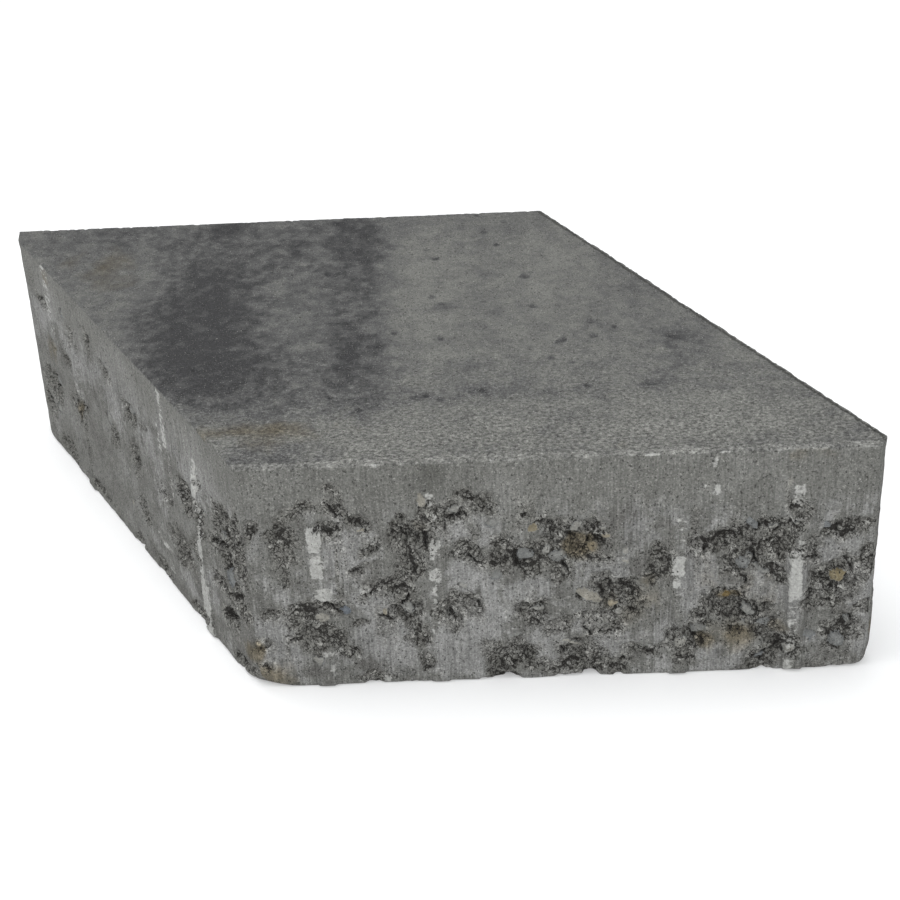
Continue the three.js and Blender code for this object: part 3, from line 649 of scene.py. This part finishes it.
def top_relief(points):
    """Recess of the wearing face: a fine crumbly rim, small pits and almost no waviness."""
    rim = np.min([wall.place(points)[2] for wall in WALLS], axis=0)
    crumbs = rough(points * [1, 1, 0], 1.8, 80)
    recess = 0.4 * ease(0.3 - rim / 1.6 + 0.9 * crumbs) * (rim < 2.5)
    pit, _, one, two = grains(points[:, 0], points[:, 1], 9, 8.0, 81)
    recess += 0.35 * np.sqrt(np.clip(1 - (pit / (0.4 + 0.8 * one**2)) ** 2, 0, 1)) * (two < 0.5)
    for x, y in DARK_DOTS:
        away = np.hypot(points[:, 0] - x, points[:, 1] - y)
        recess += 0.25 * ease((1.9 - away) / 1.4)
    return recess + 0.03 + 0.03 * noise(points, 30, 83)


def bottom_relief(points):
    """Recess of the underside: rough, but level where the stone rests; and how open it is."""
    flat = points * [1, 1, 0] + [0, 0, 400]
    openness = ease(0.9 * rough(flat, 16, 90) - 0.05)
    packed = np.zeros(len(points))
    for size, seed in ((5.2, 91), (3.2, 94)):
        distance, _, one, two = grains(points[:, 0], points[:, 1], 5, size, seed)
        dome = np.sqrt(np.clip(1 - (distance / (size * (0.38 + 0.25 * one))) ** 2, 0, 1))
        packed = np.maximum(packed, dome * (0.4 + 0.6 * two))
    return openness * 1.2 * (1 - packed), openness


def pressed(points):
    """Where points of the sharp block lie once the ribs are out and the relief is in."""
    points = points.copy()
    planes = []
    for wall in WALLS:
        s, z, behind = wall.place(points)
        skin = behind < 1e-3
        points[skin] += np.outer(rib_height(wall, s[skin], z[skin]), wall.outward)
    for wall in WALLS:
        s, z, behind = wall.place(points)
        recess = np.zeros(len(points))
        near = behind < RELIEF_REACH
        recess[near] = wall_relief(wall, s[near], z[near])[0]
        edge = np.minimum(z, THICKNESS - z)
        rim = near & (edge < ARRIS)
        crumbs = 0.35 + rough(points[rim], 2.4, 100 + wall.row)
        recess[rim] += wall.crumble * ease(1 - edge[rim] / ARRIS) * crumbs

        def gap(p, wall=wall):
            s, z, behind = wall.place(p)
            return behind + rib_height(wall, s, z)

        planes.append((-wall.outward, gap, recess))
    up = np.array([0, 0, 1.0])
    planes.append((up, lambda p: p[:, 2], bottom_relief(points)[0]))
    planes.append((-up, lambda p: THICKNESS - p[:, 2], top_relief(points)))
    ragged_tip = np.clip(0.1 + 0.3 * rough(points, 5, 110), 0, 1)
    for outward, on_flat in TIPS:
        def tip_gap(p, outward=outward, on_flat=on_flat):
            return (on_flat - p) @ outward

        planes.append((-outward, tip_gap, ragged_tip))

    height = points[:, 2]
    round_off = 0.12 + 0.45 * ease((THICKNESS - height) / 4) * ease(height / 4)
    round_off += 0.25 * ease(1 - height / 4) * (1 + 0.7 * rough(points, 12, 121))
    for corner, blunting, reach in ((FRONT_LEFT, 1.6, 8), (FRONT_RIGHT, 0.9, 9)):
        away = np.linalg.norm(points - corner, axis=1)
        round_off += blunting * np.exp(-((away / reach) ** 2))
    inward = np.array([direction for direction, _, _ in planes])
    for _ in range(ROUNDING_STEPS):
        gaps = np.stack([gap(points) - recess for _, gap, recess in planes])
        lowest = gaps.min(axis=0)
        shares = np.exp(-(gaps - lowest) / round_off)
        total = shares.sum(axis=0)
        level = lowest - round_off * np.log(total)
        slope = (shares / total).T @ inward
        steep = np.maximum((slope**2).sum(axis=1), 0.2)
        points -= slope * (level / steep)[:, None]
    return np.clip(points, LOW, HIGH)


def in_batches(function, points):
    """Runs a function over the points, some at a time and on every processor."""
    batches = [points[i:i + BATCH] for i in range(0, len(points), BATCH)]
    with ThreadPoolExecutor() as pool:
        return np.concatenate(list(pool.map(function, batches)))


def press(block):
    """Turns the sharp block into the stone."""
    set_positions(block, in_batches(pressed, positions(block)))


def thin(block):
    """Keeps the fine grid where the relief needs it and opens it where the stone is flat."""
    triangles = sum(len(p.vertices) - 2 for p in block.data.polygons)
    modify(block, "DECIMATE", ratio=TRIANGLES / triangles)


def marks_at(points):
    """What the finish needs to know, as two colours a point: how open the surface is, how
    rubbed, the tint of its pebbles and whether it is one; then how dark its gaps are painted as
    shade, how bare (0) or skinned over (1), how stained, and how much anthracite is in it."""
    count = len(points)
    opened, rubbed, gap, skin, stain = (np.zeros(count) for _ in range(5))
    tint = np.full(count, -1.0)
    nearest = np.full(count, MARKS_REACH)
    for wall in WALLS:
        s, z, behind = wall.place(points)
        close = (behind < nearest) & (z > 0.15) & (z < THICKNESS - 0.35)
        nearest[close] = behind[close]
        s, z = s[close], z[close]
        from_start = SIDE - s if wall.mirrored else s
        _, opened[close], gap[close], tint[close], rub = wall_relief(wall, s, z)
        rubbed[close] = rub * (behind[close] < 1.4)
        skin[close] = blots(from_start, z, wall.tables["skins"])
        stain[close] = blots(from_start, z, wall.tables["stains"])
    above = points[:, 2] > THICKNESS - 1.5
    pigment = np.zeros(count)
    x, y = points[above, 0], points[above, 1]
    pigment[above] = blots(x, y, PIGMENT)
    dots = np.zeros(len(x))
    uneven = rough(points[above], 2.6, 140)
    for i, (dot_x, dot_y) in enumerate(DARK_DOTS):
        radius = 1.5 + 0.4 * (i % 3) + uneven
        dots = np.maximum(dots, ease((radius - np.hypot(x - dot_x, y - dot_y)) / 1.4))
    pigment[above] += 0.9 * dots
    stain[above] = np.maximum(stain[above], blots(x, y, TOP_STAINS))
    below = points[:, 2] < 4
    opened[below] = np.maximum(opened[below], bottom_relief(points[below])[1])
    skin, pigment = 0.5 + 0.5 * skin, 0.5 + 0.5 * pigment
    marks = [opened, rubbed, tint, tint >= 0, gap, skin, stain, pigment]
    return np.stack([np.clip(mark, 0, 1) for mark in marks], axis=1)


def paint(block):
    """Stores those marks at every point of the surface."""
    marks = in_batches(marks_at, positions(block)).astype(np.float32)
    for name, four in (("marks", marks[:, :4]), ("gap_shade_and_marks", marks[:, 4:])):
        attribute = block.data.attributes.new(name, "FLOAT_COLOR", "POINT")
        attribute.data.foreach_set("color", np.ascontiguousarray(four).ravel())


# ---------------------------------------------------------------- finishes

def linear(colour):
    """An sRGB hex colour as linear red, green, blue and alpha."""
    parts = [int(colour[i:i + 2], 16) / 255 for i in (1, 3, 5)]
    return [c / 12.92 if c <= 0.04045 else ((c + 0.055) / 1.055) ** 2.4 for c in parts] + [1.0]


def add(material, kind, inputs=None, **settings):
    """Adds a shader node with its settings, and links or sets its inputs, by name or number."""
    node = material.node_tree.nodes.new("ShaderNode" + kind)
    for name, value in settings.items():
        setattr(node, name, value)
    for key, value in (inputs or {}).items():
        if isinstance(value, bpy.types.Node):
            value = value.outputs[0]
        if isinstance(value, bpy.types.NodeSocket):
            material.node_tree.links.new(value, node.inputs[key])
        else:
            node.inputs[key].default_value = value
    return node


def new_material(name):
    material = bpy.data.materials.new(name)
    material.use_nodes = True
    material.node_tree.nodes.clear()
    return material


def finish_concrete():
    """Vibro-pressed concrete: a dry mix rammed into a steel mould. The mould leaves a thin
    cement skin with upright drag lines on the walls, sand grains show through it everywhere,
    and where it didn't close, the coarse aggregate stands open over black gaps. The wearing
    face has grey and anthracite mixes spread over it in bands."""
    m = new_material("pressed_concrete")
    place = add(m, "TexCoord").outputs["Object"]

    def scaled(kind, size_mm, stretch=(1, 1, 1), inputs=None, **settings):
        factors = [k / (size_mm * MM) for k in stretch]
        spread = add(m, "VectorMath", {0: place, 1: factors}, operation="MULTIPLY")
        return add(m, kind, {"Vector": spread, "Scale": 1.0, **(inputs or {})}, **settings)

    def cloud(size_mm, detail, stretch=(1, 1, 1)):
        """Noise of 0 to 1 with its middle at 0.5, spread out so that most of that range is used."""
        inputs = {"Detail": detail, "Roughness": 0.6}
        return window(scaled("TexNoise", size_mm, stretch, inputs).outputs[0], 0.28, 0.72)

    def calc(operation, *values):
        return add(m, "Math", dict(enumerate(values)), operation=operation).outputs[0]

    def times(first, second):
        return calc("MULTIPLY", first, second)

    def sum_of(*terms):
        """Adds (value, weight) pairs, each taken from its middle, to the first value."""
        total = terms[0]
        for value, weight in terms[1:]:
            total = calc("ADD", total, times(calc("SUBTRACT", value, 0.5), weight))
        return total

    def blend(share, first, second, kind="MIX"):
        inputs = {0: share, 6: first, 7: second}
        return add(m, "Mix", inputs, data_type="RGBA", blend_type=kind).outputs[2]

    def window(value, low, high):
        """0 at or beyond low, 1 at or beyond high, and even between."""
        inputs = {"Value": value, "From Min": low, "From Max": high}
        return add(m, "MapRange", inputs).outputs[0]

    def ramp(value, *stops):
        node = add(m, "ValToRGB", {0: value})
        elements = node.color_ramp.elements
        elements[0].position, elements[0].color = stops[0][0], linear(stops[0][1])
        elements[1].position, elements[1].color = stops[-1][0], linear(stops[-1][1])
        for position, colour in stops[1:-1]:
            elements.new(position).color = linear(colour)
        return node.outputs[0]

    def shades(base, share, low, high):
        """Darkens or lightens a colour: share 0 takes it times low, share 1 times high."""
        factor = add(m, "MapRange", {"Value": share, "To Min": low, "To Max": high})
        grey = add(m, "CombineColor", {0: factor, 1: factor, 2: factor})
        return blend(1.0, base, grey, "MULTIPLY")

    marks = add(m, "Attribute", attribute_name="marks")
    more = add(m, "Attribute", attribute_name="gap_shade_and_marks")
    opened, rubbed, tint = add(m, "SeparateColor", {0: marks.outputs["Color"]}).outputs[:3]
    gap, skinned, stain = add(m, "SeparateColor", {0: more.outputs["Color"]}).outputs[:3]
    pebble, pigment = marks.outputs["Alpha"], more.outputs["Alpha"]
    x, y, z = add(m, "SeparateXYZ", {0: place}).outputs[:3]
    on_top = window(z, 0.0788, 0.0794)

    broad, patch, crumb = cloud(34, 3), cloud(8, 4), cloud(2.2, 4)
    sand, grain, pit = cloud(0.5, 2), cloud(1.2, 3), cloud(0.75, 3, (1, 1, 0.7))
    streak = cloud(0.65, 3, (1, 1, 0.06))
    mottle = window(cloud(5, 3), 0.25, 0.75)
    ladder = cloud(1.5, 2, (0.2, 0.2, 1))
    grit = cloud(1.0, 2, (0.8, 1, 1))
    lump = scaled("TexVoronoi", 1.7)
    crack = scaled("TexVoronoi", 1.25, feature="DISTANCE_TO_EDGE").outputs["Distance"]

    # bare mix and the mould's skin on the walls, the finer facing mix above them
    bare = ramp(sum_of(patch, (broad, 0.5)),
                (0.1, "#62615e"), (0.5, "#6e6e6a"), (0.9, "#7a7a77"))
    skin = ramp(sum_of(broad, (patch, 0.5), (streak, 0.3)),
                (0.1, "#767674"), (0.5, "#80807e"), (0.9, "#8c8c8a"))
    smooth = window(sum_of(skinned, (patch, 0.3), (crumb, 0.25), (streak, 0.15)), 0.49, 0.66)
    facing = ramp(sum_of(skinned, (patch, 0.25), (broad, 0.2)),
                  (0.1, "#5c5c58"), (0.5, "#6e6e6a"), (0.9, "#80807d"))
    fine = window(sum_of(z, (broad, 0.008)), 0.058, 0.068)
    wall = blend(fine, blend(smooth, bare, skin), facing)
    wall = shades(shades(wall, streak, 0.77, 1.2), grit, 0.92, 1.08)

    # the open aggregate
    gravel = ramp(sum_of(lump.outputs["Color"], (crumb, 0.5)),
                  (0.0, "#5b5954"), (0.35, "#6e6d68"), (0.75, "#8c8b86"), (1.0, "#bcbbb5"))
    wall = blend(times(opened, 0.6), wall, gravel)

    # the wearing face
    blotched = times(calc("SUBTRACT", mottle, 0.5), window(pigment, 0.4, 0.7))
    depth_of_grey = sum_of(pigment, (patch, 0.24), (broad, 0.12), (crumb, 0.22))
    depth_of_grey = calc("ADD", depth_of_grey, times(blotched, 0.34))
    top = ramp(depth_of_grey,
               (0.0, "#80807c"), (0.3, "#70706c"), (0.55, "#5b5b5a"), (0.8, "#464646"),
               (1.0, "#373738"))
    # partly a worn arris and partly a painted highlight: a paler strip along the front edge of the
    # top
    front_edge_wear_and_highlight = window(sum_of(y, (crumb, 0.0016)), -0.0793, -0.0806)
    front_edge_wear_and_highlight = times(front_edge_wear_and_highlight, window(patch, 0.25, 0.8))
    top = blend(times(front_edge_wear_and_highlight, 0.65), top, linear("#92928d"))
    # painted shade: a dark line along the right-hand top edge, where the top turns down into the
    # edge
    across = calc("ADD", times(x, math.sin(ACUTE)), times(y, math.cos(ACUTE)))
    from_right = sum_of(calc("SUBTRACT", SIDE / 2 * math.sin(ACUTE) * MM, across), (crumb, 0.0012))
    painted_shade_line = times(window(from_right, 0.0021, 0.0016), window(from_right, 0.0006, 0.0011))
    top = blend(times(painted_shade_line, 0.8), top, linear("#333330"))
    base = blend(on_top, wall, top)

    # sand grains, pale and dark, everywhere, and pinholes painted dark as shade
    near_front = times(window(y, 0.0, -0.07), on_top)
    base = shades(base, sand, 0.66, 1.34)
    base = shades(base, grain, 0.86, 1.14)
    gritty = shades(shades(base, grain, 0.75, 1.25), grit, 0.45, 1.55)
    base = blend(near_front, base, gritty)
    torn = shades(shades(base, sand, 0.62, 1.42), pit, 0.55, 1.5)
    base = blend(opened, base, torn)
    # painted shade: dark specks where the pit pattern marks pinholes
    base = blend(times(window(pit, 0.26, 0.14), 0.85), base, linear("#32312f"))
    base = blend(times(window(sand, 0.82, 0.98), 0.55), base, linear("#b4b3ae"))

    # pebbles, stains and rubs
    stones = ramp(tint,
                  (0.0, "#6b727a"), (0.3, "#777978"), (0.5, "#92918b"), (0.7, "#918b7c"),
                  (1.0, "#7c6f4c"))
    stones = shades(shades(stones, crumb, 0.7, 1.2), sand, 0.8, 1.2)
    bared = window(sum_of(pebble, (crumb, 0.4), (sand, 0.4)), 0.4, 0.7)
    base = blend(times(bared, 0.8), base, stones)
    stained = blend(1.0, base, linear("#dccbaa"), "MULTIPLY")
    brown = window(sum_of(stain, (patch, 0.5)), 0.2, 0.8)
    base = blend(times(brown, 0.75), base, stained)
    worn = window(sum_of(rubbed, (crumb, 0.8), (ladder, 0.6), (grain, 0.6)), 0.28, 0.6)
    worn = times(worn, window(rubbed, 0.05, 0.3))
    chalk = shades(shades(linear("#b1b1ad"), grain, 0.75, 1.2), sand, 0.8, 1.15)
    base = blend(times(worn, 0.8), base, chalk)

    # painted shade: the gaps between the crumbs, where the surface is open, are painted near black
    rugged = calc("SUBTRACT", 1, calc("MAXIMUM", smooth, fine))
    loose = window(sum_of(crack, (grain, 0.3)), 0.16, 0.0)
    loose = times(loose, times(opened, 0.6))
    painted_gap_shade = times(gap, 0.72)
    painted_gap_shade = calc("ADD", calc("ADD", painted_gap_shade, loose), times(rugged, 0.18))
    painted_gap_shade = calc("SUBTRACT", calc("MINIMUM", painted_gap_shade, 0.85), times(pebble, 0.3))
    gaps = window(sum_of(painted_gap_shade, (pit, 1.0), (sand, 0.8)), 0.55, 0.65)
    base = blend(times(gaps, 0.92), base, linear("#242220"))

    rounded = times(lump.outputs["Distance"], opened)
    relief = sum_of(sand, (grain, 1.0), (gaps, -1.5), (rounded, -3.0))
    bump = add(m, "Bump", {"Height": relief, "Strength": 0.8, "Distance": 0.3 * MM})
    shader = add(m, "BsdfPrincipled", {
        "Base Color": base, "Roughness": 0.92, "Specular IOR Level": 0.25, "Normal": bump,
    })
    add(m, "OutputMaterial", {"Surface": shader.outputs[0]})
    return m


# ---------------------------------------------------------------- stage, light and camera

def floor():
    bpy.ops.mesh.primitive_plane_add(size=3)
    plane = bpy.context.object
    plane.name = "floor"
    m = new_material("white_floor")
    diffuse = add(m, "BsdfDiffuse", {"Color": linear("#f2f2f2")})
    seen = add(m, "LightPath").outputs["Is Camera Ray"]
    strength = add(m, "Math", {0: seen, 1: 0.12}, operation="MULTIPLY")
    glow = add(m, "Emission", {"Strength": strength})
    both = add(m, "AddShader", {0: diffuse, 1: glow})
    add(m, "OutputMaterial", {"Surface": both})
    plane.data.materials.append(m)


def sky():
    world = bpy.data.worlds.new("studio")
    bpy.context.scene.world = world
    world.use_nodes = True
    world.node_tree.nodes.clear()
    path = add(world, "LightPath")
    rays = {0: path.outputs["Is Camera Ray"], 1: path.outputs["Is Glossy Ray"]}
    direct = add(world, "Math", rays, operation="MAXIMUM")
    soft = add(world, "Background", {"Color": linear("#f4f6f8"), "Strength": 0.75})
    white = add(world, "Background", {"Color": linear("#ffffff"), "Strength": 1.0})
    mixed = add(world, "MixShader", {0: direct, 1: soft, 2: white})
    add(world, "OutputWorld", {"Surface": mixed})


def lamp(name, place, size, power):
    """A soft square lamp that points at the middle of the stone."""
    data = bpy.data.lights.new(name, "AREA")
    data.size, data.energy = size, power
    obj = bpy.data.objects.new(name, data)
    bpy.context.scene.collection.objects.link(obj)
    obj.location = place
    target = Vector((0, 0, THICKNESS * MM / 2))
    obj.rotation_euler = (target - Vector(place)).to_track_quat("-Z", "Y").to_euler()


def camera():
    """Looks at the front side from above, a little from its right-hand end."""
    turn, tip, roll = -0.02164, 0.55872, -0.04953
    offset = np.array([-58.394, 73.182, 601.924])
    focal_px, frame_px = 1958.26, 900
    yaw = np.array(Matrix.Rotation(turn, 3, "Z"))
    pitch = np.array(Matrix.Rotation(tip + math.pi / 2, 3, "X"))
    lean = np.array(Matrix.Rotation(roll, 3, "Z"))
    view = lean @ pitch @ yaw
    place = (FRONT_LEFT - view.T @ offset) * MM
    data = bpy.data.cameras.new("camera")
    data.sensor_width = 36
    data.lens = data.sensor_width * focal_px / frame_px
    data.clip_start, data.clip_end = 0.01, 50
    obj = bpy.data.objects.new("camera", data)
    bpy.context.scene.collection.objects.link(obj)
    axes = np.stack([view[0], -view[1], -view[2]], axis=1)
    obj.matrix_world = Matrix.Translation(place) @ Matrix(axes).to_4x4()
    bpy.context.scene.camera = obj


# ---------------------------------------------------------------- put together

camera()
floor()
sky()
lamp("overhead", (-0.3, 0.1, 1.4), size=1.0, power=9)
lamp("front", (0.25, -1.2, 0.7), size=0.9, power=7)
lamp("left", (-1.2, -0.3, 0.7), size=0.9, power=3.5)

stone = cast_block()
press(stone)
thin(stone)
paint(stone)
only(stone)
bpy.ops.object.shade_smooth_by_angle(angle=math.radians(50))
stone.data.materials.append(finish_concrete())
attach(stone, "root")
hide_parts(NODE)

bpy.context.scene.view_settings.view_transform = "Standard"
